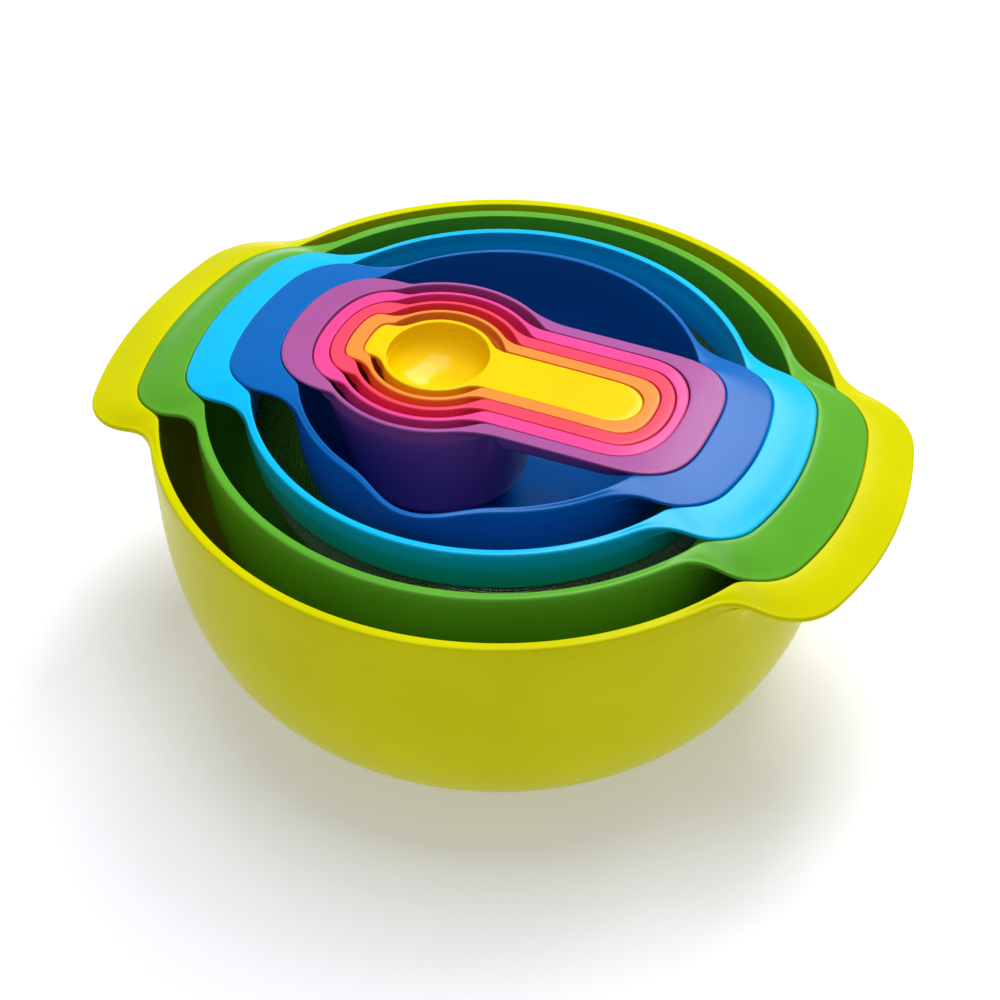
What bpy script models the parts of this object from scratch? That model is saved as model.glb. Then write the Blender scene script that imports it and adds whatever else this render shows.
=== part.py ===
"""Nested set of nine kitchen pieces: a large mixing bowl, a colander, a sieve with a
wire mesh, a small mixing bowl with a pouring spout, four measuring cups and a
measuring spoon.  Each piece hangs in the next larger one by its handles.

Frame: metres, +Z up, origin under the middle of the large bowl's flat base.
+X runs through the long handles of the cups, -Y is the side of the spout.
"""
import math

import bmesh
import bpy
from mathutils import Matrix, Vector

MM = 0.001
RIM = 122.0            # large bowl: height of the rim above the table, mm

# Bowls, mm.  rim: outer radius of the lip, mouth: inner radius, reach: outer arc of
# the handles, half: half width of a handle, corner and neck: its fillets, wall:
# thickness, edge: thickness of the handles, base: radius of the flat bottom, depth:
# inside depth below the rim, full: powers of the wall's curve, top: (x, height) of the
# handles' edge.
LARGE = dict(rim=136.0, mouth=132.0, reach=161.2, half=65.8, corner=25.0, neck=18.5,
             wall=3.2, edge=3.2, base=56.0, depth=119.6, full=(3.1, 4.3),
             top=((0, 0.8), (82, 0.8), (115, -0.1), (136, -4.3), (163, -8.8)))
COLANDER = dict(rim=117.7, mouth=113.8, reach=142.5, half=58.8, corner=25.4, neck=17.5,
                wall=3.0, edge=3.0, base=50.0, depth=95.0, full=(2.9, 3.6),
                top=((0, 7.9), (71, 8.1), (100, 7.5), (118, 2.9), (143, -2.4)))
SIEVE = dict(rim=99.0, mouth=96.0, reach=122.5, half=50.8, corner=20.6, neck=22.0,
             wall=3.0, edge=2.2,
             top=((0, 12.4), (59, 12.3), (84, 11.6), (99, 10.1), (106, 9.4), (123, 7.2)))
SMALL = dict(rim=79.9, mouth=77.4, reach=105.5, half=43.6, corner=22.6, neck=25.0,
             wall=1.9, edge=1.9, base=36.0, depth=66.0, full=(3.0, 4.0),
             top=((0, 16.3), (49, 15.7), (69, 15.2), (82, 14.5), (98, 13.0), (106, 12.1)))

# Cups, mm.  rim: outer radius of the round part, half and end: half width and end of
# the handle, tab and back: half width and end of the thumb tab, blend: length of the
# rounding at both ends, neck: fillets, tray: depth of the recess for the next cup.
CUP_X = -25.8          # middle of the round parts
CUPS = (
    dict(name="cup_250ml", rim=46.3, half=35.9, end=86.8, tab=36.8, back=86.8, edge=1.6,
         blend=(33.0, 40.0), power=(3.2, 2.4), neck=(42.0, 4.0), tray=8.0, wall=1.6,
         depth=52.5, foot=34.0, top=((0, 17.2), (70, 17.2), (78, 17.0), (87, 16.3))),
    dict(name="cup_125ml", rim=39.9, half=30.1, end=74.2, tab=29.9, back=74.0,
         blend=(24.4, 40.0), power=(2.4, 2.2), neck=(21.2, 5.0), tray=6.1, wall=1.6,
         depth=36.6, foot=30.0, top=((0, 17.3), (50, 17.3), (60, 17.2), (74, 16.4))),
    dict(name="cup_85ml", rim=33.8, half=23.5, end=69.9, tab=23.6, back=67.9,
         blend=(17.0, 40.0), power=(2.1, 2.2), neck=(17.5, 4.0), tray=4.2, wall=1.6,
         depth=33.2, foot=26.6, top=((0, 17.4), (50, 17.4), (70, 17.0))),
    dict(name="cup_60ml", rim=28.0, half=17.2, end=63.8, tab=14.8, back=61.8,
         blend=(14.8, 40.0), power=(2.6, 2.3), neck=(13.0, 12.0), tray=2.3, wall=1.6,
         depth=30.6, foot=23.2, top=((0, 17.5), (45, 17.5), (64, 17.2))),
    dict(name="spoon_15ml", rim=22.1, half=11.4, end=58.2, tab=9.8, back=54.8,
         blend=(13.0, 40.0), power=(2.2, 2.6), neck=(10.0, 9.0), tray=0.0, wall=1.8,
         depth=15.4, foot=9.0, top=((0, 17.6), (45, 17.6), (58, 17.1))),
)
NEST = 0.35            # clearance round a handle lying in the recess of the next cup
CUP_LIP = 1.9          # width of the lip round the free part of a cup's rim
TRAY_NECKS = (5.0, 5.0)                # fillets of the recess for the next cup
FOOT_ROUND = 4.0       # rounding between a cup's wall and its floor
HANDLE_GAP = 0.8       # clearance round a bowl's handle in the recess of the next bowl
HANDLE_STEP = 0.7      # how far the recess's edge lies below the handle in it
UNDER_GAP = 0.3        # clearance under a bowl's handle

BAND = 18.0            # sieve: height of the moulded band under the rim
MESH_WALL = 0.8        # sieve: thickness of the woven mesh with its crimped edge
MESH_DEPTH = 56.0      # sieve: depth of the mesh below the band
MESH_BRIM = 1.0        # sieve: straight part of the mesh under the band
MESH_RINGS = 5
LATHE_STEPS = 44
BAND_TAPER = 1.2       # sieve: how much narrower the band is at its lower edge
SLOT = 1.4             # sieve: width of the groove that holds the mesh
SLOT_DEEP = 5.0        # sieve: depth of that groove

SPOUT_OUT = 9.0        # small bowl: how far the spout stands out of the rim
SPOUT_ANGLE = 24.0     # small bowl: half of the spout's opening, degrees
HOLE_ROWS = ((0.0, 1), (12.0, 6), (24.0, 12), (36.0, 18))   # colander floor, mm
HOLE = 2.6             # colander: radius of a drain hole

RECESS_BLEND = 5.0     # over which a recess rises out of the mouth
RECESS_DRAFT = 0.5     # lean of a recess's side
FREE_RINGS = (4.5, 2.5)                # rings below the rim where there is no recess
TABLE_FINE = 8         # how much finer an outline is drawn to measure it
LEAST_ANGLE = 1.1      # between two points of a bowl's rings, degrees
SPOUT_FADE = 2.2       # how fast the spout fades down the wall
LEVELS = (1.0, 0.965, 0.9, 0.8, 0.62, 0.35, 0.13)      # rings of a bowl's inside wall
END_PTS, SIDE_PTS, NECK_PTS, ARC_PTS = 4, 1, 2, 6      # points along an outline


def clear_scene():
    for ob in list(bpy.data.objects):
        bpy.data.objects.remove(ob, do_unlink=True)


def collection(name):
    col = bpy.data.collections.new(name)
    bpy.context.scene.collection.children.link(col)
    return col


def plastic(name, rgb, rough=0.32):
    mat = bpy.data.materials.new(name)
    mat.use_nodes = True
    shader = mat.node_tree.nodes["Principled BSDF"]
    shader.inputs["Base Color"].default_value = (*rgb, 1.0)
    shader.inputs["Roughness"].default_value = rough
    return mat


def mix(a, b, t):
    return a + (b - a) * t


def ease(low, high, v):
    t = min(1.0, max(0.0, (v - low) / (high - low)))
    return t * t * (3 - 2 * t)


def through(knots, x):
    """Smooth curve through (x, z) knots, level at the first, even in x."""
    x = min(abs(x), knots[-1][0])
    slope = [0.0]
    for a, b in zip(knots, knots[1:]):
        slope.append((b[1] - a[1]) / (b[0] - a[0]))
    slope.append(slope[-1])
    for i, (a, b) in enumerate(zip(knots, knots[1:])):
        if x <= b[0]:
            h = b[0] - a[0]
            t = (x - a[0]) / h
            m0, m1 = (slope[i] + slope[i + 1]) / 2, (slope[i + 1] + slope[i + 2]) / 2
            return ((2 * t ** 3 - 3 * t ** 2 + 1) * a[1] + (t ** 3 - 2 * t ** 2 + t) * h * m0
                    + (3 * t ** 2 - 2 * t ** 3) * b[1] + (t ** 3 - t ** 2) * h * m1)
    return knots[-1][1]


def arc_end(reach, half, corner, count):
    """Handle end on an arc about the bowl's axis, with a filleted corner."""
    mid = math.sqrt((reach - corner) ** 2 - (half - corner) ** 2)
    turn = math.atan2(half - corner, mid)
    pts = [(reach * math.cos(turn * i / count), reach * math.sin(turn * i / count))
           for i in range(count + 1)]
    for i in range(1, count + 1):
        a = turn + (math.pi / 2 - turn) * i / count
        pts.append((mid + corner * math.cos(a), half - corner + corner * math.sin(a)))
    return pts


def round_end(end, half, blend, power, count):
    """Handle end rounded by a superellipse of the given length and power."""
    pts = []
    for i in range(count + 3):
        y = math.sin(math.pi / 2 * i / (count + 2))
        pts.append((end - blend * (1 - (1 - y ** power) ** (1 / power)), half * y))
    return pts


def quarter(tip, radius, neck, arc, bend=NECK_PTS):
    """From the tip of a handle along its side and neck to the top of the circle.
    Returns the points and the index where the circle begins."""
    half = tip[-1][1]
    xn = math.sqrt((radius + neck) ** 2 - (half + neck) ** 2)
    turn = math.atan2(half + neck, xn)
    pts = list(tip)
    x0 = tip[-1][0]
    for i in range(1, SIDE_PTS + 1):
        pts.append((x0 + (xn - x0) * i / SIDE_PTS, half))
    for i in range(1, bend + 1):
        a = -math.pi / 2 - (math.pi / 2 - turn) * i / bend
        pts.append((xn + neck * math.cos(a), half + neck + neck * math.sin(a)))
    start = len(pts) - 1
    for i in range(1, arc + 1):
        a = turn + (math.pi / 2 - turn) * i / arc
        pts.append((radius * math.cos(a), radius * math.sin(a)))
    return pts, start, turn


def circle_quarter(start, turn, arc, radius):
    """The circle with the same count of points, spread evenly under the handle."""
    angles = [turn * i / start for i in range(start)]
    angles += [turn + (math.pi / 2 - turn) * i / arc for i in range(arc + 1)]
    return [(radius * math.cos(a), radius * math.sin(a)) for a in angles]


def loop(right, left, cx=0.0):
    """Closed loop from the quarter at +X and the quarter at -X, both mirrored in Y."""
    up = list(right) + [(-x, y) for x, y in reversed(left)][1:]
    return [(cx + x, y) for x, y in up + [(x, -y) for x, y in reversed(up)][1:-1]]


def loft(name, rings, cap, at, mat, col):
    """Skin from the first ring outward; cap closes the first ring with one face."""
    bm = bmesh.new()
    rows = [[bm.verts.new([(p[k] - at[k]) * MM for k in range(3)]) for p in ring]
            for ring in rings]
    if cap:
        bm.faces.new(rows[0])
    for a, b in zip(rows, rows[1:]):
        for i in range(len(a)):
            j = (i + 1) % len(a)
            bm.faces.new((a[i], b[i], b[j], a[j]))
    bmesh.ops.recalc_face_normals(bm, faces=bm.faces)
    if sum(f.normal.z * f.calc_area() for f in bm.faces) < 0:
        bmesh.ops.reverse_faces(bm, faces=bm.faces)
    mesh = bpy.data.meshes.new(name)
    bm.to_mesh(mesh)
    bm.free()
    ob = bpy.data.objects.new(name, mesh)
    ob.location = [v * MM for v in at]
    mesh.materials.append(mat)
    for poly in mesh.polygons:
        poly.use_smooth = True
    col.objects.link(ob)
    return ob


def thicken(ob, wall, group=None, thin=1.0):
    mod = ob.modifiers.new("wall", 'SOLIDIFY')
    mod.thickness = wall * MM
    mod.offset = -1.0
    mod.use_even_offset = True
    mod.use_quality_normals = True
    if group:
        mod.vertex_group = group
        mod.thickness_vertex_group = thin


def cut(ob, cutter):
    mod = ob.modifiers.new("cut", 'BOOLEAN')
    mod.operation = 'DIFFERENCE'
    mod.solver = 'EXACT'
    mod.object = cutter


def bowl_half(spec, grow=0.0, fine=1):
    """Half of a bowl's outline, from one handle's tip over +Y to the other."""
    tip = arc_end(spec["reach"] + grow, spec["half"] + grow, spec["corner"] + grow,
                  (END_PTS - 1) * fine)
    right = quarter(tip, spec["rim"] + grow, spec["neck"] - grow, ARC_PTS * fine,
                    NECK_PTS * fine)[0]
    return right + [(-x, y) for x, y in reversed(right[:-1])]


def cup_half(spec, grow=0.0, fine=1):
    both = cup_outline(spec, spec["rim"] + grow, grow, spec["neck"], ARC_PTS * fine, fine)
    ring = loop(both[0][0], both[1][0], CUP_X)
    return ring[:len(ring) // 2 + 1]


def polar(outline):
    """The outline as (angle, radius) about the bowl's axis."""
    table = []
    for x, y in outline:
        angle = math.atan2(max(y, 0.0), x)
        if not table or angle > table[-1][0] + 1e-9:
            table.append((angle, math.hypot(x, y)))
    return table


def radius_at(table, angle):
    for (a0, r0), (a1, r1) in zip(table, table[1:]):
        if angle <= a1:
            return mix(r0, r1, max(0.0, (angle - a0) / (a1 - a0)))
    return table[-1][1]


def spread(angles, least):
    """Sorted angles of half a turn, none closer together than the least."""
    kept = [0.0]
    for a in sorted(angles):
        if a - kept[-1] >= least and math.pi - a >= least:
            kept.append(a)
    return kept + [math.pi]


def rim_column(spec, inner, angle, out, nested):
    """(radius, z) up over the recess for the nested handle and out to the edge."""
    mouth, level, cos = spec["mouth"], RIM + spec["top"][0][1], math.cos(angle)
    key = max(mouth, nested)
    floor = RIM + through(inner["top"], key * cos) - inner["edge"] - UNDER_GAP
    recess = ease(0.0, RECESS_BLEND, key - mouth)
    rise = RIM + through(inner["top"], key * cos) - HANDLE_STEP
    z_in, z_out = mix(level, rise, recess), RIM + through(spec["top"], out * cos)
    return [(mouth, mix(level - FREE_RINGS[0], floor, recess)),
            (key - RECESS_DRAFT * recess, mix(level - FREE_RINGS[1], floor, recess)),
            (key, z_in),
            (mix(key, out, 0.5), mix(z_in, z_out, 0.42)),
            (out, z_out)]


def rim_rings(spec, inner):
    """Rings of the recess and the handles, and the angles of their points."""
    own = polar(bowl_half(spec, fine=TABLE_FINE))
    half = bowl_half if "reach" in inner else cup_half
    nested = polar(half(inner, HANDLE_GAP, TABLE_FINE))
    angles = spread([a for a, _ in polar(bowl_half(spec))]
                    + [a for a, r in polar(half(inner, HANDLE_GAP)) if r > spec["mouth"]],
                    math.radians(LEAST_ANGLE))
    columns = [rim_column(spec, inner, a, radius_at(own, a), radius_at(nested, a))
               for a in angles]
    rings = []
    for k in range(len(columns[0])):
        half_ring = [(c[k][0] * math.cos(a), c[k][0] * math.sin(a), c[k][1])
                     for a, c in zip(angles, columns)]
        rings.append(half_ring + [(x, -y, z) for x, y, z in reversed(half_ring[1:-1])])
    return rings, angles + [-a for a in reversed(angles[1:-1])]


def round_ring(radius, z, angles):
    return [(radius * math.cos(a), radius * math.sin(a), z) for a in angles]


def wall_radius(spec, u):
    a, b = spec["full"]
    return spec["mouth"] * (1 - u ** a) ** (1 / b) if u < 1 else spec["base"]


def spout(x, y, z):
    """Push the rim of the small bowl out into a pouring lip at -Y."""
    off = math.degrees(math.atan2(y, x) + math.pi / 2) / SPOUT_ANGLE
    down = (RIM + SMALL["top"][0][1] - z) / SMALL["depth"]
    if abs(off) >= 1 or y > 0 or down * SPOUT_FADE > 1:
        return x, y, z
    out = SPOUT_OUT * 0.5 * (1 + math.cos(math.pi * off)) * (1 - SPOUT_FADE * down) ** 1.5
    size = math.hypot(x, y)
    return x * (1 + out / size), y * (1 + out / size), z


def bowl(name, spec, inner, mat, col, bend=None):
    """A bowl with recesses in its handles for the handles of the inner piece."""
    over, angles = rim_rings(spec, inner)
    level = RIM + spec["top"][0][1]
    rings = [round_ring(wall_radius(spec, u), level - spec["depth"] * u, angles)
             for u in LEVELS] + over
    if bend:
        rings = [[bend(*p) for p in ring] for ring in rings]
    ob = loft(name, rings, True, (0.0, 0.0, level - spec["depth"] - spec["wall"]), mat, col)
    thicken(ob, spec["wall"])
    return ob


def drain_holes(ob, col):
    """One cutter with a six-sided pin for every drain hole in the colander's floor."""
    bm = bmesh.new()
    for row, (radius, count) in enumerate(HOLE_ROWS):
        for i in range(count):
            a = 2 * math.pi * (i + 0.5 * (row % 2)) / count
            mid = Vector((radius * math.cos(a), radius * math.sin(a), COLANDER["wall"] / 2))
            bmesh.ops.create_cone(bm, cap_ends=True, segments=6, radius1=HOLE * MM,
                                  radius2=HOLE * MM, depth=2 * COLANDER["wall"] * MM,
                                  matrix=Matrix.Translation(mid * MM))
    mesh = bpy.data.meshes.new("drain_pins")
    bm.to_mesh(mesh)
    bm.free()
    pins = bpy.data.objects.new("drain_pins", mesh)
    pins.location = ob.location
    hide_cutter(pins, col)
    cut(ob, pins)


def hide_cutter(ob, col):
    col.objects.link(ob)
    ob.hide_render = True
    ob.display_type = 'WIRE'


def lathe(name, profile, at, col, mat=None, closed=False):
    """Turned piece from (radius, z) points, listed from the top down."""
    mesh = bpy.data.meshes.new(name)
    count = len(profile)
    edges = [(i, i + 1) for i in range(count - 1)] + ([(count - 1, 0)] if closed else [])
    mesh.from_pydata([(r * MM, 0.0, (z - at[2]) * MM) for r, z in profile], edges, [])
    ob = bpy.data.objects.new(name, mesh)
    ob.location = [v * MM for v in at]
    turn = ob.modifiers.new("turn", 'SCREW')
    turn.steps = turn.render_steps = LATHE_STEPS
    turn.use_merge_vertices = True
    turn.merge_threshold = 1e-5
    turn.use_smooth_shade = True
    if mat:
        mesh.materials.append(mat)
        col.objects.link(ob)
    return ob


def sieve_frame(mat, col, cutters):
    """Moulded band with the handles; its lower edge is grooved for the mesh."""
    over, angles = rim_rings(SIEVE, SMALL)
    level = RIM + SIEVE["top"][0][1]
    low = SIEVE["mouth"] - BAND_TAPER
    rings = [round_ring(low, level - BAND, angles),
             round_ring(mix(low, SIEVE["mouth"], 0.6), level - BAND * 0.5, angles)]
    band = len(angles) * len(rings)
    ob = loft("sieve_frame", rings + over, False, (0.0, 0.0, level - BAND), mat, col)
    group = ob.vertex_groups.new(name="band")
    group.add(list(range(band)), 1.0, 'ADD')
    thicken(ob, SIEVE["wall"], "band", SIEVE["edge"] / SIEVE["wall"])
    mid = low + SIEVE["wall"] / 2
    top, under = level - BAND + SLOT_DEEP, level - BAND - SLOT
    ring = lathe("mesh_groove", [(mid - SLOT / 2, top), (mid + SLOT / 2, top),
                                 (mid + SLOT / 2, under), (mid - SLOT / 2, under)],
                 tuple(v / MM for v in ob.location), cutters, closed=True)
    hide_cutter(ring, cutters)
    cut(ob, ring)
    return mid, level - BAND


def sieve_mesh(mid, edge, mat, col):
    """The woven bowl as one thin skin; its edge stands in the groove of the band."""
    r0 = mid - MESH_WALL / 2
    brim = edge - MESH_BRIM
    profile = [(r0, edge + SLOT_DEEP - UNDER_GAP), (r0, brim)]
    for i in range(1, MESH_RINGS + 1):
        a = math.pi / 2 * i / MESH_RINGS
        profile.append((r0 * math.cos(a) ** 0.8 if i < MESH_RINGS else 0.0,
                        brim - MESH_DEPTH * math.sin(a) ** 1.15))
    at = (0.0, 0.0, brim - MESH_DEPTH)
    ob = lathe("sieve_mesh", profile, at, col, mat)
    mod = ob.modifiers.new("wire", 'SOLIDIFY')
    mod.thickness = MESH_WALL * MM
    mod.offset = 1.0
    mod.use_even_offset = True
    return ob


def cup_outline(spec, rim, grow, necks, arc, fine=1):
    """Plan quarters of a cup: its handle side and its tab side, grown by a clearance."""
    both = []
    for side in (0, 1):
        end = grow + ((spec["end"] - CUP_X) if side == 0 else (spec["back"] + CUP_X))
        half = grow + (spec["half"] if side == 0 else spec["tab"])
        root = math.sqrt((rim + necks[side]) ** 2 - (half + necks[side]) ** 2)
        blend = min(spec["blend"][side], end - root - 0.4)
        tip = round_end(end, half, blend, spec["power"][side], (END_PTS - 1) * fine)
        both.append(quarter(tip, rim, necks[side], arc, NECK_PTS * fine))
    return both


def cup_wall(both, radius, z, arc):
    quarters = [circle_quarter(start, turn, arc, radius) for _, start, turn in both]
    return [(x, y, z) for x, y in loop(*quarters, CUP_X)]


def cup(spec, inner, mat, col, arc=4):
    """A cup, its handle and tab; inner is the next smaller cup that nests in it."""
    lip = RIM + spec["top"][0][1]
    rim = spec["rim"] - CUP_LIP
    tray = spec["tray"]
    floor = lip - spec["depth"]
    plan = cup_outline(spec, spec["rim"], 0.0, spec["neck"], arc)
    outer = [(x, y, RIM + through(spec["top"], x)) for x, y in loop(plan[0][0], plan[1][0], CUP_X)]
    rings = []
    for radius, z in ((spec["foot"] - FOOT_ROUND, floor),
                      (spec["foot"], floor + 0.75 * FOOT_ROUND)):
        rings.append(cup_wall(plan, radius, z, arc))
    if inner:
        keyhole = cup_outline(inner, rim, NEST, TRAY_NECKS, arc)
        rings.append(cup_wall(keyhole, rim - 1.0, lip - tray - 2.0, arc))
        inset = cup_outline(inner, rim - 0.6, NEST - 0.1, TRAY_NECKS, arc)
        rings.append([(x, y, lip - tray) for x, y in loop(inset[0][0], inset[1][0], CUP_X)])
        edge = loop(keyhole[0][0], keyhole[1][0], CUP_X)
        rings.append([(x, y, RIM + through(spec["top"], x)) for x, y in edge])
    else:
        rings.append(cup_wall(plan, rim - 2.2, lip - spec["depth"] * 0.45, arc))
        rings.append(cup_wall(plan, rim, lip, arc))
    rings.append(outer)
    ob = loft(spec["name"], rings, True, (CUP_X, 0.0, floor - spec["wall"]), mat, col)
    thicken(ob, spec["wall"])
    return ob


def main():
    clear_scene()
    parts = collection("nesting_bowl_set")
    cutters = collection("cutters")
    bowl("large_mixing_bowl", LARGE, COLANDER, plastic("lime", (0.62, 0.60, 0.01)), parts)
    drain_holes(bowl("colander", COLANDER, SIEVE, plastic("green", (0.16, 0.45, 0.04)), parts),
                cutters)
    mid, edge = sieve_frame(plastic("light_blue", (0.01, 0.50, 0.88)), parts, cutters)
    sieve_mesh(mid, edge, plastic("steel_mesh", (0.30, 0.30, 0.30), 0.35), parts)
    bowl("small_mixing_bowl", SMALL, CUPS[0], plastic("dark_blue", (0.01, 0.14, 0.50)), parts,
         spout)
    colours = (("purple", (0.40, 0.10, 0.37)), ("magenta", (0.85, 0.10, 0.35)),
               ("coral", (0.90, 0.10, 0.17)), ("orange", (0.95, 0.27, 0.05)),
               ("yellow", (0.98, 0.80, 0.0)))
    for spec, inner, (name, rgb) in zip(CUPS, (*CUPS[1:], None), colours):
        cup(spec, inner, plastic(name, rgb), parts)


main()
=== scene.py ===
"""Nested kitchen set: a large bowl, a colander, a sieve, a small bowl with a spout, four
measuring cups and a spoon.  The handle of each piece lies in a recess of the next one.

Lengths are millimetres unless a name says otherwise.  +X runs along the handles, -Y is
the side of the spout, and heights in the tables are above the large bowl's rim level.
"""
import math
from bisect import bisect_right

import bmesh
import bpy
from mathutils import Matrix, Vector


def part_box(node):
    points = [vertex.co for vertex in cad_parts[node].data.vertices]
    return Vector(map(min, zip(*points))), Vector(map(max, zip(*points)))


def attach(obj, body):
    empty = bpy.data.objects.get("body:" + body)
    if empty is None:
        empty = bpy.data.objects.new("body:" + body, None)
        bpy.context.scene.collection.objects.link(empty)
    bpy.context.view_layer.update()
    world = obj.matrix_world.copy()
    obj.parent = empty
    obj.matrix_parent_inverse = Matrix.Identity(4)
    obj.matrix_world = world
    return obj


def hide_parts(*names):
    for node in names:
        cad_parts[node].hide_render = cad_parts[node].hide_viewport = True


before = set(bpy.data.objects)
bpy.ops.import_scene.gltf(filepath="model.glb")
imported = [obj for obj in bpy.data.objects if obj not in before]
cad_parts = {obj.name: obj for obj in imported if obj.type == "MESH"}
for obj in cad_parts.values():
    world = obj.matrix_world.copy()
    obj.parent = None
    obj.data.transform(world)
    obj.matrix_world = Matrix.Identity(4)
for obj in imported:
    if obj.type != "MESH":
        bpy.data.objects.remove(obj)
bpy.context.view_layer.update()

MM = 0.001
RIM = 122.0            # level that the heights of the rims are given from
STEP = 0.7             # how far a bowl's handle lies below the handle nested in it
NEST = 0.4             # clearance round a nested handle
UNDER = 0.4            # clearance under a nested handle
RECESS_BLEND = 5.0     # width over which a recess rises out of the mouth
HANDLE_BLEND = 8.0     # width over which a handle grows out of the rim
FREE_STEP = 0.75       # spacing of the rings under a rim that has no handle
CUP_BASE = 0.5         # height of a cup's hollow base
BOWL_BASE = 0.8        # height of a bowl's hollow base
CUP_X = -25.8          # centre of the round parts of the cups

LARGE = dict(rim=136.0, mouth=132.0, reach=161.2, half=65.8, corner=25.0, neck=18.5,
             wall=3.2, edge=2.6, fillet=7.0, base=56.0, depth=119.6, full=(3.1, 4.3),
             top=((0, 0.8), (82, 0.8), (115, -0.1), (136, -4.3), (163, -8.8)))
COLANDER = dict(rim=117.7, mouth=113.8, reach=142.5, half=58.8, corner=25.4, neck=17.5,
                wall=3.0, edge=2.3, fillet=6.0, base=50.0, depth=95.0, full=(2.9, 3.6),
                top=((0, 7.9), (71, 8.1), (100, 7.5), (118, 2.9), (143, -2.4)))
SIEVE = dict(rim=99.0, mouth=96.0, reach=122.5, half=50.8, corner=20.6, neck=22.0,
             wall=2.6, edge=2.2, fillet=5.0,
             top=((0, 12.4), (59, 12.3), (84, 11.6), (99, 10.1), (106, 9.4), (123, 7.2)))
SMALL = dict(rim=79.9, mouth=77.4, reach=105.5, half=43.6, corner=22.6, neck=25.0,
             wall=1.9, edge=1.8, fillet=4.0, base=36.0, depth=66.0, full=(3.0, 4.0),
             top=((0, 16.3), (49, 15.7), (69, 15.2), (82, 14.5), (98, 13.0), (106, 12.1)))
CUPS = (
    dict(rim=46.3, mouth=44.4, half=35.9, end=86.8, tab=36.8, back=86.8,
         blend=(33.0, 40.0), power=(3.2, 2.4), neck=(42.0, 4.0), tray=8.0, wall=1.6,
         edge=1.5, fillet=2.5, depth=52.5, foot=34.0,
         top=((0, 17.2), (70, 17.2), (78, 17.0), (87, 16.3))),
    dict(rim=39.9, mouth=38.0, half=30.1, end=74.2, tab=29.9, back=74.0,
         blend=(24.4, 40.0), power=(2.4, 2.2), neck=(21.2, 5.0), tray=6.1, wall=1.6,
         edge=1.5, fillet=2.5, depth=36.6, foot=30.0,
         top=((0, 17.3), (50, 17.3), (60, 17.2), (74, 16.4))),
    dict(rim=33.8, mouth=31.9, half=23.5, end=69.9, tab=23.6, back=67.9,
         blend=(17.0, 40.0), power=(2.1, 2.2), neck=(17.5, 4.0), tray=4.2, wall=1.6,
         edge=1.5, fillet=2.5, depth=33.2, foot=26.6, top=((0, 17.4), (50, 17.4), (70, 17.0))),
    dict(rim=28.0, mouth=26.1, half=17.2, end=63.8, tab=14.8, back=61.8,
         blend=(14.8, 40.0), power=(2.6, 2.3), neck=(13.0, 12.0), tray=2.3, wall=1.6,
         edge=1.5, fillet=2.5, depth=30.6, foot=23.2, top=((0, 17.5), (45, 17.5), (64, 17.2))),
    dict(rim=22.1, mouth=20.0, half=11.4, end=58.2, tab=9.8, back=54.8,
         blend=(13.0, 40.0), power=(2.2, 2.6), neck=(10.0, 9.0), tray=0.0, wall=1.5,
         edge=1.5, fillet=2.5, depth=15.6, foot=9.0, top=((0, 17.3), (45, 17.3), (58, 16.9))),
)

WALL_LEVELS = (0.993, 0.982, 0.965, 0.94, 0.9, 0.85, 0.78, 0.7, 0.6, 0.48, 0.36, 0.24, 0.15)

RIM_RINGS = 26         # rings that rim_column gives
BAND_CAGE = 4.2        # spacing of the cage round the sieve's band
CUP_CAGE = 2.6         # spacing of the cage round a cup
PIN_SIDES = 20         # sides of a pin that cuts a drain hole

BAND = 18.0            # sieve: height of the moulded band
BAND_TAPER = 1.2       # sieve: how much narrower the band is at its lower edge
MESH_BRIM = 1.0        # sieve: straight part of the mesh under the band
MESH_DEPTH = 56.0      # sieve: depth of the mesh under the band
PITCH = 1.5            # sieve: spacing of the wires
WIRE = 0.19            # sieve: radius of a wire
WEAVE = math.radians(25.0)   # sieve: how far the weave is turned from the handles
SPOUT_OUT = 9.0        # small bowl: how far the spout stands out
SPOUT_POINT = 1.4      # small bowl: above 1 the spout is narrower at its tip
SPOUT_ANGLE = 25.0     # small bowl: half of the spout's opening, degrees
SPOUT_FADE = 2.2       # small bowl: how fast the spout fades down the wall
HOLE_ROWS = ((0.0, 1), (12.0, 6), (24.0, 12), (36.0, 18))   # colander floor
HOLE = 2.6             # colander: radius of a drain hole

LENS = 100.82          # camera: focal length on a 36 mm sensor
CAMERA = (0.3277, -0.7697, 0.8204)     # camera: place, metres
LOOK_AT = (0.0002, 0.0001, 0.0725)     # camera: the point it faces, metres


# ---------------------------------------------------------------- curves

def mix(a, b, t):
    return a + (b - a) * t


def ease(low, high, v):
    t = min(1.0, max(0.0, (v - low) / (high - low)))
    return t * t * (3 - 2 * t)


def through(knots, x):
    """Smooth curve through (x, z) knots, level at the first, even in x."""
    x = min(abs(x), knots[-1][0])
    slope = [0.0]
    for a, b in zip(knots, knots[1:]):
        slope.append((b[1] - a[1]) / (b[0] - a[0]))
    slope.append(slope[-1])
    for i, (a, b) in enumerate(zip(knots, knots[1:])):
        if x <= b[0]:
            h = b[0] - a[0]
            t = (x - a[0]) / h
            m0, m1 = (slope[i] + slope[i + 1]) / 2, (slope[i + 1] + slope[i + 2]) / 2
            return ((2 * t ** 3 - 3 * t ** 2 + 1) * a[1] + (t ** 3 - 2 * t ** 2 + t) * h * m0
                    + (3 * t ** 2 - 2 * t ** 3) * b[1] + (t ** 3 - t ** 2) * h * m1)
    return knots[-1][1]


def arc(cx, cy, radius, start, stop, count):
    return [(cx + radius * math.cos(mix(start, stop, i / count)),
             cy + radius * math.sin(mix(start, stop, i / count))) for i in range(count + 1)]


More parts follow.
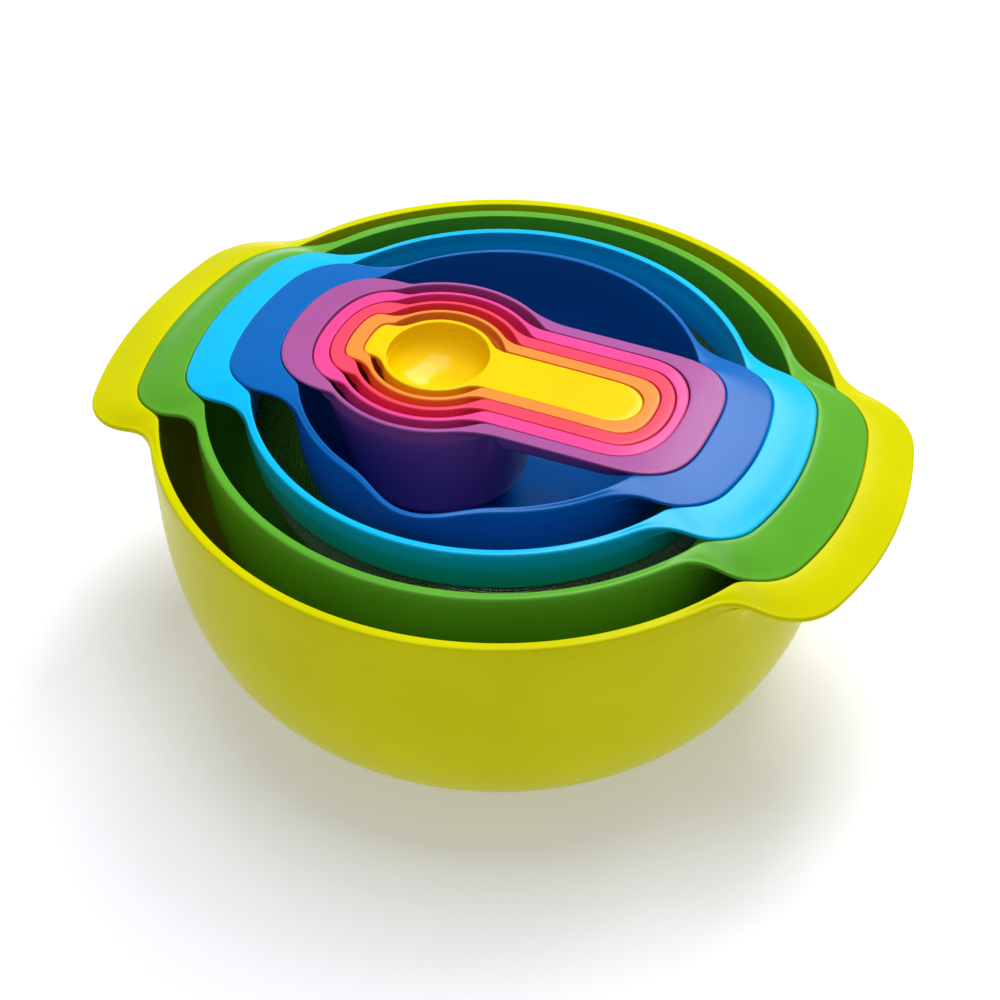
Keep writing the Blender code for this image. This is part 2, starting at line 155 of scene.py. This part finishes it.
def arc_tip(reach, half, corner):
    """Tip of a bowl's handle: an arc about the bowl's axis and a round corner."""
    mid = math.sqrt((reach - corner) ** 2 - (half - corner) ** 2)
    turn = math.atan2(half - corner, mid)
    return (arc(0, 0, reach, 0, turn, 12)
            + arc(mid, half - corner, corner, turn, math.pi / 2, 16)[1:])


def round_tip(end, half, blend, power):
    """Tip of a cup's handle, rounded by a superellipse."""
    pts = []
    for i in range(33):
        y = math.sin(math.pi / 2 * i / 32)
        pts.append((end - blend * (1 - (1 - y ** power) ** (1 / power)), half * y))
    return pts


def neck_and_rim(tip, radius, neck):
    """From a handle's tip along its side, through the neck and round the rim to +Y."""
    half = tip[-1][1]
    xn = math.sqrt((radius + neck) ** 2 - (half + neck) ** 2)
    turn = math.atan2(half + neck, xn)
    pts = list(tip)
    if tip[-1][0] - xn > 0.5:
        pts += [(mix(tip[-1][0], xn, i / 8), half) for i in range(1, 9)]
    pts += arc(xn, half + neck, neck, -math.pi / 2, turn - math.pi, 12)[1:]
    return pts + arc(0, 0, radius, turn, math.pi / 2, 24)[1:]


def bowl_outline(spec, grow=0.0):
    """Half of a bowl's outline, from the tip at +X over +Y to the tip at -X."""
    tip = arc_tip(spec["reach"] + grow, spec["half"] + grow, spec["corner"] + grow)
    quarter = neck_and_rim(tip, spec["rim"] + grow, spec["neck"] - grow)
    return quarter + [(-x, y) for x, y in reversed(quarter[:-1])]


def cup_outline(spec, grow=0.0):
    """Half of a cup's outline: its handle at +X, its thumb tab at -X."""
    sides = []
    for side, end, half in ((0, spec["end"] - CUP_X, spec["half"]),
                            (1, spec["back"] + CUP_X, spec["tab"])):
        end, half, neck = end + grow, half + grow, max(3.0, spec["neck"][side] - grow)
        root = math.sqrt((spec["rim"] + grow + neck) ** 2 - (half + neck) ** 2)
        blend = min(spec["blend"][side], end - root - 0.4)
        sides.append(neck_and_rim(round_tip(end, half, blend, spec["power"][side]),
                                  spec["rim"] + grow, neck))
    half_plan = sides[0] + [(-x, y) for x, y in reversed(sides[1][:-1])]
    return [(x + CUP_X, y) for x, y in half_plan]


def polar(outline, cx):
    """The outline as (angle, radius) about the point (cx, 0)."""
    table = []
    for x, y in outline:
        angle = math.atan2(y, x - cx)
        if not table or angle > table[-1][0] + 1e-9:
            table.append((angle, math.hypot(x - cx, y)))
    return table


def radius_at(table, angle):
    i = min(max(bisect_right(table, (angle, 0.0)), 1), len(table) - 1)
    (a0, r0), (a1, r1) = table[i - 1], table[i]
    return mix(r0, r1, min(1.0, max(0.0, (angle - a0) / (a1 - a0))))


def even_angles(outline, cx, spacing):
    """Angles of points spread evenly along the outline."""
    length = [0.0]
    for a, b in zip(outline, outline[1:]):
        length.append(length[-1] + math.dist(a, b))
    count = round(length[-1] / spacing)
    angles, k = [], 0
    for i in range(count + 1):
        s = length[-1] * i / count
        while k < len(length) - 2 and length[k + 1] < s:
            k += 1
        t = (s - length[k]) / max(1e-9, length[k + 1] - length[k])
        x, y = (mix(outline[k][j], outline[k + 1][j], t) for j in (0, 1))
        angles.append(math.atan2(max(y, 0.0), x - cx))
    angles[0], angles[-1] = 0.0, math.pi
    return angles


def smooth_max(a, b, width):
    blend = max(width - abs(a - b), 0.0) / width
    return max(a, b) + blend * blend * width / 4


# ---------------------------------------------------------------- profiles

def bowl_wall(spec):
    """(radius, depth below the rim) of the inside wall, from the floor up."""
    a, b = spec["full"]
    floor = [(spec["base"] * k, spec["depth"]) for k in (0.3, 0.6, 0.85)]
    return floor + [(spec["mouth"] * (1 - u ** a) ** (1 / b), spec["depth"] * u)
                    for u in WALL_LEVELS]


def cup_inside(spec):
    """(radius, depth) of a cup's inside: a flat floor, a rounded corner, a tapered wall."""
    foot, depth, top = spec["foot"], spec["depth"], spec["tray"] + 3.0
    pts = [(foot * 0.5, depth), (foot - 5.5, depth), (foot - 3.0, depth - 0.35),
           (foot - 1.2, depth - 1.4), (foot - 0.3, depth - 3.2), (foot + 0.2, depth - 6.0)]
    return pts + [(mix(foot + 0.2, spec["mouth"] - 1.0, t), mix(depth - 6.0, top, t))
                  for t in (0.3, 0.6, 0.85, 1.0)]


def spoon_inside(spec):
    """(radius, depth) of the spoon: a shallow round bowl with a small flat in its floor."""
    turns = [math.radians(a) for a in (24, 34, 44, 54, 63, 71, 78, 84)]
    pts = [(spec["mouth"] * math.sin(a) ** 1.05, spec["depth"] * math.cos(a) ** 0.62)
           for a in turns]
    return [(spec["mouth"] * 0.2, spec["depth"])] + pts


def outside(profile, wall, lip, depth_fade):
    """The profile moved outward by the wall, which thickens to the lip's width at the rim."""
    pts = []
    for i, (r, d) in enumerate(profile):
        r0, d0 = profile[max(i - 1, 0)]
        r1, d1 = profile[min(i + 1, len(profile) - 1)]
        size = math.hypot(r1 - r0, d1 - d0)
        nr, nd = (d0 - d1) / size, (r1 - r0) / size
        thick = mix(lip, wall, ease(0.0, depth_fade, d))
        pts.append((r + nr * thick, d + nd * thick))
    return pts


def rim_column(spec, angle, cx, tables, nested):
    """(radius, z) points at one angle: over the recess and the rim, and back underneath."""
    out = radius_at(tables["own"], angle)
    mouth, rim, t = spec["mouth"], spec["rim"], spec["edge"]
    key = mouth
    if nested:
        key = smooth_max(mouth, radius_at(tables["nested"], angle), 3.0)
    level = RIM + spec["top"][0][1]
    cos = math.cos(angle)

    def own_top(radius):
        return RIM + through(spec["top"], cx + radius * cos)

    def floor(radius):
        if nested and "tray" in spec:
            return level - spec["tray"]
        if nested:
            return RIM + through(nested["top"], cx + radius * cos) - nested["edge"] - UNDER
        return own_top(radius)

    recess = ease(0.0, RECESS_BLEND, key - mouth)
    handle = ease(0.0, HANDLE_BLEND, out - rim)
    z_out = own_top(out)
    z_in = level
    if nested and "tray" in spec:
        z_in = own_top(key)
    elif nested:
        z_in = mix(level, RIM + through(nested["top"], cx + key * cos) - STEP, recess)
    pts = []

    def over(radius, z_recess, drop):
        pts.append((radius, mix(level - drop, z_recess, recess)))

    over(mouth, floor(mouth) - 1.3, 4.6)
    over(mouth + 0.1 * recess, floor(mouth) - 0.4, 3.7)
    over(mouth + 0.5 * recess, floor(mouth), 3.0)
    over(mix(mouth, key, 0.25), floor(mix(mouth, key, 0.25)), 2.4)
    over(mix(mouth, key, 0.6), floor(mix(mouth, key, 0.6)), 1.9)
    over(key - 0.9 * recess, floor(key), 1.5)
    over(key - 0.2 * recess, floor(key) + 0.2, 1.15)
    over(key, floor(key) + 0.8, 0.85)
    over(key, z_in - 0.45, 0.45)

    wide = min(1.6, 0.4 * (rim - mouth))
    lip = min(1.2, 0.3 * (rim - mouth))
    a, b = key + lip, out - wide

    def top(radius):
        s = min(1.0, max(0.0, (radius - a) / max(b - a, 0.1)))
        return mix(z_in, z_out, s ** 1.25)

    pts += [(key + 0.1, z_in - 0.12), (key + 0.35 * lip, z_in), (a, z_in)]
    pts += [(mix(a, b, s), top(mix(a, b, s))) for s in (0.33, 0.66)]
    pts += [(b, z_out), (out - 0.3 * wide, z_out - 0.12), (out, z_out - 0.55)]

    low = z_out - t
    pts.append((out, mix(low + 0.35, low + 0.55, handle)))
    span = max(b - rim, 0.0)
    under = ease(0.0, 6.0, key + 3.0 - rim) * recess
    base = mix(z_out, floor(key), under) - t
    fillet = min(spec["fillet"], mix(span, max(key - rim, 0.0), under))
    shape = ((out - 0.3 * wide, low + 0.12),
             (b, low),
             (mix(rim + span * 0.8, key + 3.4, under), mix(low, top(key + 3.4) - t, under)),
             (mix(rim + span * 0.65, key + 2.6, under), mix(low, base + 0.7, under)),
             (mix(rim + span * 0.5, key + 1.4, under), base),
             (rim + fillet, base),
             (rim + 0.3 * fillet, base - 0.3 * fillet),
             (rim, base - fillet))
    for i, (radius, z) in enumerate(shape):
        free = low - 0.1 - FREE_STEP * i
        pts.append((max(rim, radius) if handle < 1 or i > 1 else radius,
                    mix(free, z, handle)))
    return pts


def piece_rings(spec, outline, cx, spacing, inner, foot, nested=None, grown=None,
                bend=None):
    """Rings of a closed shell, from the middle of the floor over the rim to the base."""
    tables = {"own": polar(outline, cx)}
    if nested:
        tables["nested"] = polar(grown, cx)
    level = RIM + spec["top"][0][1]
    lip = spec["rim"] - spec["mouth"]
    outer = outside(inner, spec["wall"], lip, 30.0)
    start = spec["edge"] + 0.1 + FREE_STEP * 7 + spec["fillet"]
    outer = [p for p in outer if p[1] > start + spec.get("tray", 0.0)]
    columns = []
    for angle in even_angles(outline, cx, spacing):
        column = [(r, level - d) for r, d in inner]
        column += rim_column(spec, angle, cx, tables, nested)
        column += [(r, level - d) for r, d in reversed(outer)]
        column += foot
        columns.append((angle, column))
    rings = []
    for k in range(len(columns[0][1])):
        half = [(cx + c[k][0] * math.cos(a), c[k][0] * math.sin(a), c[k][1])
                for a, c in columns]
        ring = half + [(x, -y, z) for x, y, z in reversed(half[1:-1])]
        if bend:
            ring = [bend(*p) for p in ring]
        rings.append(settle(ring))
    return rings


def settle(ring):
    """Cage points pushed out, so that the subdivided ring passes through the given ones."""
    n = len(ring)
    return [tuple(p[k] + (2 * p[k] - ring[i - 1][k] - ring[(i + 1) % n][k]) / 6
                  for k in range(3)) for i, p in enumerate(ring)]


# ---------------------------------------------------------------- meshes

def finish(ob, body, slot, *nodes):
    """Tie a visible piece to its body and hide the nodes it replaces."""
    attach(ob, body)
    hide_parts(*nodes)
    return ob


def shell(name, rings, mat, body, slot, node, ends=True):
    """Closed cage from its rings, finished by a live Subdivision Surface."""
    bm = bmesh.new()
    rows = [[bm.verts.new([v * MM for v in p]) for p in ring] for ring in rings]
    if ends:
        for row in (rows[0], rows[-1]):
            last = len(row)
            for i in range(last // 2):
                rung = [row[i], row[i + 1], row[last - i - 1], row[-i]]
                bm.faces.new(dict.fromkeys(rung))
        pairs = list(zip(rows, rows[1:]))
    else:
        pairs = list(zip(rows, rows[1:] + rows[:1]))
    for a, b in pairs:
        for i in range(len(a)):
            j = (i + 1) % len(a)
            bm.faces.new((a[i], b[i], b[j], a[j]))
    bmesh.ops.recalc_face_normals(bm, faces=bm.faces)
    mesh = bpy.data.meshes.new(name)
    bm.to_mesh(mesh)
    bm.free()
    mesh.materials.append(mat)
    mesh.polygons.foreach_set("use_smooth", [True] * len(mesh.polygons))
    ob = bpy.data.objects.new(name, mesh)
    bpy.context.scene.collection.objects.link(ob)
    smooth = ob.modifiers.new("smooth", 'SUBSURF')
    smooth.levels = smooth.render_levels = 1
    return finish(ob, body, slot, node)


def bowl_foot(spec):
    """Outside of the floor: a narrow standing ring round a shallow hollow."""
    bottom = RIM + spec["top"][0][1] - spec["depth"] - spec["wall"]
    base = spec["base"]
    return [(base * 0.8, bottom), (base * 0.77, bottom + 0.15), (base * 0.75, bottom + 0.7),
            (base * 0.7, bottom + BOWL_BASE), (base * 0.3, bottom + BOWL_BASE)]


def cup_foot(spec):
    """Outside of a cup's floor: a narrow edge round a shallow hollow."""
    bottom = RIM + spec["top"][0][1] - spec["depth"] - spec["wall"]
    foot = spec["foot"]
    return [(foot - 4.0, bottom), (foot - 5.0, bottom + 0.1), (foot - 5.6, bottom + CUP_BASE),
            (foot - 7.0, bottom + CUP_BASE), (foot * 0.3, bottom + CUP_BASE)]


def spout(x, y, z):
    """The small bowl's rim pushed out into a pouring lip at -Y."""
    off = math.degrees(math.atan2(y, x) + math.pi / 2) / SPOUT_ANGLE
    level = RIM + SMALL["top"][0][1]
    down = (level - z) / SMALL["depth"]
    if abs(off) >= 1 or y > 0 or down * SPOUT_FADE > 1:
        return x, y, z
    swell = 0.5 * (1 + math.cos(math.pi * off))
    out = SPOUT_OUT * swell ** SPOUT_POINT * (1 - SPOUT_FADE * down) ** 1.5
    size = math.hypot(x, y)
    return x * (1 + out / size), y * (1 + out / size), z


def bowl(name, spec, nested, mat, body, slot, spacing, bend=None):
    """A bowl; nested is the next smaller piece, whose handles lie in its recesses."""
    inner = bowl_wall(spec)
    grown = None
    if nested:
        grown = bowl_outline(nested, NEST) if "reach" in nested else cup_outline(nested, NEST)
    rings = piece_rings(spec, bowl_outline(spec), 0.0, spacing, inner, bowl_foot(spec),
                        nested, grown, bend)
    return shell(name, rings, mat, body, slot, body_node(body))


def body_node(body):
    """CAD node of a body; most bodies share their node's name."""
    return {"large_bowl": "large_mixing_bowl", "small_bowl": "small_mixing_bowl"}.get(body, body)


def cup(name, spec, nested, mat, body, slot):
    """A cup or the spoon; nested is the next smaller cup, which lies in its tray."""
    inner = cup_inside(spec) if spec["tray"] else spoon_inside(spec)
    foot = cup_foot(spec) if spec["tray"] else []
    grown = cup_outline(nested, NEST) if nested else None
    rings = piece_rings(spec, cup_outline(spec), CUP_X, CUP_CAGE, inner, foot, nested,
                        grown)
    return shell(name, rings, mat, body, slot, body)


def drain(ob):
    """Drain holes through the colander's floor, cut by flared pins and applied."""
    bm = bmesh.new()
    low = Vector(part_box("colander")[0]).z
    heights = ((-1.0, 1.9), (0.0, 1.12), (0.6, 1.0), (2.4, 1.0), (3.0, 1.12), (4.4, 2.0))
    for row, (radius, count) in enumerate(HOLE_ROWS):
        for i in range(count):
            a = 2 * math.pi * (i + 0.5 * (row % 2)) / count
            cx, cy = radius * math.cos(a), radius * math.sin(a)
            rows = [[bm.verts.new(((cx + HOLE * k * math.cos(b)) * MM,
                                   (cy + HOLE * k * math.sin(b)) * MM, low + z * MM))
                     for b in [2 * math.pi * n / PIN_SIDES for n in range(PIN_SIDES)]]
                    for z, k in heights]
            bm.faces.new(rows[0])
            bm.faces.new(rows[-1])
            for r0, r1 in zip(rows, rows[1:]):
                for k in range(PIN_SIDES):
                    n = (k + 1) % PIN_SIDES
                    bm.faces.new((r0[k], r0[n], r1[n], r1[k]))
    bmesh.ops.recalc_face_normals(bm, faces=bm.faces)
    mesh = bpy.data.meshes.new("pins")
    bm.to_mesh(mesh)
    bm.free()
    pins = bpy.data.objects.new("pins", mesh)
    bpy.context.scene.collection.objects.link(pins)
    cut = ob.modifiers.new("drain", 'BOOLEAN')
    cut.object, cut.operation, cut.solver = pins, 'DIFFERENCE', 'FAST'
    bpy.context.view_layer.update()
    done = bpy.data.meshes.new_from_object(ob.evaluated_get(
        bpy.context.evaluated_depsgraph_get()))
    ob.modifiers.clear()
    ob.data = done
    bpy.data.objects.remove(pins)


def sieve_band(mat):
    """Moulded rim and band of the sieve, open below, with rounded lower edges."""
    spec = SIEVE
    level = RIM + spec["top"][0][1]
    inner = [(spec["mouth"] - BAND_TAPER + k, d) for k, d in
             ((0.45, BAND), (0.1, BAND - 0.15), (0.0, BAND - 0.6), (0.2, BAND * 0.75),
              (0.5, BAND * 0.5), (0.9, BAND * 0.36))]
    rings = piece_rings(spec, bowl_outline(spec), 0.0, BAND_CAGE, inner, [], SMALL,
                        bowl_outline(SMALL, NEST))
    outer = [(spec["mouth"] - BAND_TAPER + spec["wall"] + k, d) for k, d in
             ((0.9, BAND * 0.66), (0.4, BAND * 0.8), (0.0, BAND - 0.6), (-0.1, BAND - 0.15),
              (-0.45, BAND))]
    angles = [math.atan2(p[1], p[0]) for p in rings[0]]
    rings = rings[:len(inner) + RIM_RINGS]
    for r, d in outer:
        rings.append([(r * math.cos(a), r * math.sin(a), level - d) for a in angles])
    return shell("sieve_band", rings, mat, "sieve", "light_blue", "sieve_frame", ends=False)


def mesh_meridian():
    """(arc length, radius, z) down the sieve's mesh, from its middle up into the band."""
    edge = RIM + SIEVE["top"][0][1] - BAND
    r0 = SIEVE["mouth"] - BAND_TAPER + SIEVE["wall"] / 2
    pts = [(0.0, edge - MESH_BRIM - MESH_DEPTH)]
    for i in range(89, -1, -1):
        a = math.radians(i)
        pts.append((r0 * math.cos(a) ** 0.8, edge - MESH_BRIM - MESH_DEPTH * math.sin(a) ** 1.15))
    pts.append((r0, edge + 3.0))
    table, s = [], 0.0
    for i, (r, z) in enumerate(pts):
        if i:
            s += math.dist(pts[i - 1], (r, z))
        table.append((s, r, z))
    return table


def weave(name, mat, table, numbers, flip):
    """Woven steel wires of one direction, each a polyline that runs over and under."""
    full = table[-1][0]
    curve = bpy.data.curves.new(name, 'CURVE')
    curve.dimensions = '3D'
    curve.bevel_depth = WIRE * MM
    curve.bevel_resolution = 0
    for n in numbers:
        s = (n + 0.5) * PITCH
        reach = full * full - s * s
        if reach <= PITCH * PITCH:
            continue
        reach = math.sqrt(reach)
        most = int(reach / PITCH - 0.5)
        line = [-reach] + [(k + 0.5) * PITCH for k in range(-most - 1, most + 1)] + [reach]
        spline = curve.splines.new('POLY')
        spline.points.add(len(line) - 1)
        coords = []
        for k, t in enumerate(line):
            rho, turn = math.hypot(s, t), math.atan2(t, s)
            i = min(max(bisect_right(table, (rho, 0.0, 0.0)), 1), len(table) - 1)
            (s0, r0, z0), (s1, r1, z1) = table[i - 1], table[i]
            f = (rho - s0) / (s1 - s0)
            slope = math.hypot(r1 - r0, z1 - z0)
            side = WIRE * (1 if (k + n + flip) % 2 else -1)
            r = mix(r0, r1, f) - side * (z1 - z0) / slope
            z = mix(z0, z1, f) + side * (r1 - r0) / slope
            x, y = r * math.cos(turn), r * math.sin(turn)
            if flip:
                x, y = y, x
            x, y = (x * math.cos(WEAVE) - y * math.sin(WEAVE),
                    x * math.sin(WEAVE) + y * math.cos(WEAVE))
            coords += [x * MM, y * MM, z * MM, 1.0]
        spline.points.foreach_set("co", coords)
    curve.materials.append(mat)
    ob = bpy.data.objects.new(name, curve)
    bpy.context.scene.collection.objects.link(ob)
    return finish(ob, "sieve", "steel_mesh", "sieve_mesh")


# ---------------------------------------------------------------- materials

def linear(hex_colour):
    """sRGB hex to a linear colour with alpha."""
    values = [int(hex_colour[i:i + 2], 16) / 255 for i in (0, 2, 4)]
    return (*[v / 12.92 if v <= 0.04045 else ((v + 0.055) / 1.055) ** 2.4 for v in values], 1.0)


def per_mm(size):
    """Texture scale for a feature of this size in millimetres."""
    return 1000.0 / size


def node(tree, kind, values=None, links=None, **settings):
    """A shader node with its input values, links from other sockets and settings."""
    new = tree.nodes.new(kind)
    for key, value in settings.items():
        setattr(new, key, value)
    for socket, value in (values or {}).items():
        new.inputs[socket].default_value = value
    for socket, source in (links or {}).items():
        tree.links.new(source, new.inputs[socket])
    return new


def moulded_polypropylene(name, hex_colour, shade, shine=0.2, rough=0.24):
    """Moulded polypropylene: saturated through-colour, satin gloss, a faint orange peel."""
    mat = bpy.data.materials.new(name)
    mat.use_nodes = True
    tree = mat.node_tree
    shader = tree.nodes["Principled BSDF"]
    place = node(tree, "ShaderNodeTexCoord").outputs["Object"]
    flow = node(tree, "ShaderNodeTexNoise", {"Scale": per_mm(38), "Detail": 3.0},
                {"Vector": place})
    ramp = node(tree, "ShaderNodeValToRGB", links={"Fac": flow.outputs["Fac"]})
    ramp.color_ramp.elements[0].position = 0.3
    ramp.color_ramp.elements[0].color = linear(shade)
    ramp.color_ramp.elements[1].position = 0.7
    ramp.color_ramp.elements[1].color = linear(hex_colour)
    tree.links.new(ramp.outputs["Color"], shader.inputs["Base Color"])
    touch = node(tree, "ShaderNodeTexNoise", {"Scale": per_mm(14), "Detail": 4.0},
                 {"Vector": place})
    gloss = node(tree, "ShaderNodeMapRange", {"To Min": rough - 0.05, "To Max": rough + 0.07},
                 {"Value": touch.outputs["Fac"]})
    tree.links.new(gloss.outputs["Result"], shader.inputs["Roughness"])
    peel = node(tree, "ShaderNodeTexNoise", {"Scale": per_mm(0.8), "Detail": 2.0},
                {"Vector": place})
    fine = node(tree, "ShaderNodeBump", {"Strength": 0.12, "Distance": 0.00006},
                {"Height": peel.outputs["Fac"]})
    wave = node(tree, "ShaderNodeTexNoise", {"Scale": per_mm(26), "Detail": 1.0},
                {"Vector": place})
    broad = node(tree, "ShaderNodeBump", {"Strength": 0.3, "Distance": 0.0005},
                 {"Height": wave.outputs["Fac"], "Normal": fine.outputs["Normal"]})
    tree.links.new(broad.outputs["Normal"], shader.inputs["Normal"])
    shader.inputs["IOR"].default_value = 1.49
    shader.inputs["Specular IOR Level"].default_value = shine
    return mat


def woven_steel(name):
    """Woven stainless steel wire: bright metal with a slightly uneven polish."""
    mat = bpy.data.materials.new(name)
    mat.use_nodes = True
    tree = mat.node_tree
    shader = tree.nodes["Principled BSDF"]
    place = node(tree, "ShaderNodeTexCoord").outputs["Object"]
    tone = node(tree, "ShaderNodeTexNoise", {"Scale": per_mm(11), "Detail": 3.0},
                {"Vector": place})
    ramp = node(tree, "ShaderNodeValToRGB", links={"Fac": tone.outputs["Fac"]})
    ramp.color_ramp.elements[0].color = linear("8b8a88")
    ramp.color_ramp.elements[1].color = linear("c9c8c4")
    tree.links.new(ramp.outputs["Color"], shader.inputs["Base Color"])
    draw = node(tree, "ShaderNodeTexNoise", {"Scale": per_mm(0.5), "Detail": 2.0},
                {"Vector": place})
    gloss = node(tree, "ShaderNodeMapRange", {"To Min": 0.25, "To Max": 0.45},
                 {"Value": draw.outputs["Fac"]})
    tree.links.new(gloss.outputs["Result"], shader.inputs["Roughness"])
    shader.inputs["Metallic"].default_value = 1.0
    return mat


def studio_floor():
    """Painted studio floor: matte and near white, so that only soft shadows show on it."""
    mat = bpy.data.materials.new("painted_studio_floor")
    mat.use_nodes = True
    tree = mat.node_tree
    shader = tree.nodes["Principled BSDF"]
    place = node(tree, "ShaderNodeTexCoord").outputs["Object"]
    tone = node(tree, "ShaderNodeTexNoise", {"Scale": per_mm(400)}, {"Vector": place})
    ramp = node(tree, "ShaderNodeValToRGB", links={"Fac": tone.outputs["Fac"]})
    ramp.color_ramp.elements[0].color = linear("efeff6")
    ramp.color_ramp.elements[1].color = linear("f4f4fb")
    tree.links.new(ramp.outputs["Color"], shader.inputs["Base Color"])
    shader.inputs["Roughness"].default_value = 0.9
    shader.inputs["Emission Color"].default_value = (0.8, 0.8, 1.0, 1.0)
    shader.inputs["Emission Strength"].default_value = 0.3
    shader.inputs["Specular IOR Level"].default_value = 0.1
    return mat


# ---------------------------------------------------------------- studio

def aim(ob, target):
    ob.rotation_euler = (Vector(target) - ob.location).to_track_quat('-Z', 'Y').to_euler()


def softbox(name, place, target, size, power):
    light = bpy.data.lights.new(name, 'AREA')
    light.shape = 'RECTANGLE'
    light.size, light.size_y = size
    light.energy = power
    ob = bpy.data.objects.new(name, light)
    ob.location = place
    bpy.context.scene.collection.objects.link(ob)
    aim(ob, target)


def studio():
    scene = bpy.context.scene
    scene.view_settings.view_transform = 'Standard'
    scene.view_settings.look = 'None'
    bm = bmesh.new()
    bmesh.ops.create_grid(bm, x_segments=4, y_segments=4, size=4.0)
    mesh = bpy.data.meshes.new("studio_floor")
    bm.to_mesh(mesh)
    bm.free()
    mesh.materials.append(studio_floor())
    floor = bpy.data.objects.new("studio_floor", mesh)
    scene.collection.objects.link(floor)
    world = bpy.data.worlds.new("studio")
    scene.world = world
    world.use_nodes = True
    world.node_tree.nodes["Background"].inputs["Color"].default_value = (1.0, 1.0, 1.0, 1.0)
    world.node_tree.nodes["Background"].inputs["Strength"].default_value = 0.29
    softbox("overhead_softbox", (-0.03, 0.18, 2.3), (0.0, 0.0, 0.1), (1.3, 1.3), 24.6)
    softbox("back_softbox", (0.08, 0.75, 1.15), (0.0, 0.0, 0.12), (0.55, 0.9), 10.5)
    camera = bpy.data.cameras.new("camera")
    camera.lens = LENS
    camera.sensor_width = 36.0
    view = bpy.data.objects.new("camera", camera)
    view.location = CAMERA
    scene.collection.objects.link(view)
    aim(view, LOOK_AT)
    scene.camera = view


def main():
    studio()
    lime = moulded_polypropylene("lime_moulded_polypropylene", "D8D600", "D0CE00", 0.04)
    green = moulded_polypropylene("green_moulded_polypropylene", "5FB02C", "5AA82A")
    sky = moulded_polypropylene("light_blue_moulded_polypropylene", "00C4FF", "00BCF8")
    navy = moulded_polypropylene("dark_blue_moulded_polypropylene", "0068C0", "0064B8")
    bowl("lime_mixing_bowl", LARGE, COLANDER, lime, "large_bowl", "lime", 5.0)
    drain(bowl("green_colander", COLANDER, SIEVE, green, "colander", "green", 4.6))
    sieve_band(sky)
    steel = woven_steel("woven_stainless_steel")
    table = mesh_meridian()
    count = int(table[-1][0] / PITCH) + 1
    weave("sieve_warp_left", steel, table, range(-count, 0), 0)
    weave("sieve_warp_right", steel, table, range(0, count), 0)
    weave("sieve_weft_front", steel, table, range(-count, 0), 1)
    weave("sieve_weft_back", steel, table, range(0, count), 1)
    bowl("blue_small_bowl", SMALL, CUPS[0], navy, "small_bowl", "dark_blue", 3.4, spout)
    looks = (("purple", "AC589E", "A65499", "cup_250ml"), ("magenta", "EE4A9A", "E84594",
             "cup_125ml"), ("coral", "FB4A68", "F54562", "cup_85ml"),
             ("orange", "FB9440", "F58E3A", "cup_60ml"), ("yellow", "F8D200", "F4CC00",
             "spoon_15ml"))
    for i, (slot, colour, shade, body) in enumerate(looks):
        mat = moulded_polypropylene(slot + "_moulded_polypropylene", colour, shade,
                                    *((0.2, 0.16) if slot == "yellow" else (0.2, 0.24)))
        cup(slot + "_" + body.split("_")[0], CUPS[i], CUPS[i + 1] if i < 4 else None, mat,
            body, slot)


main()
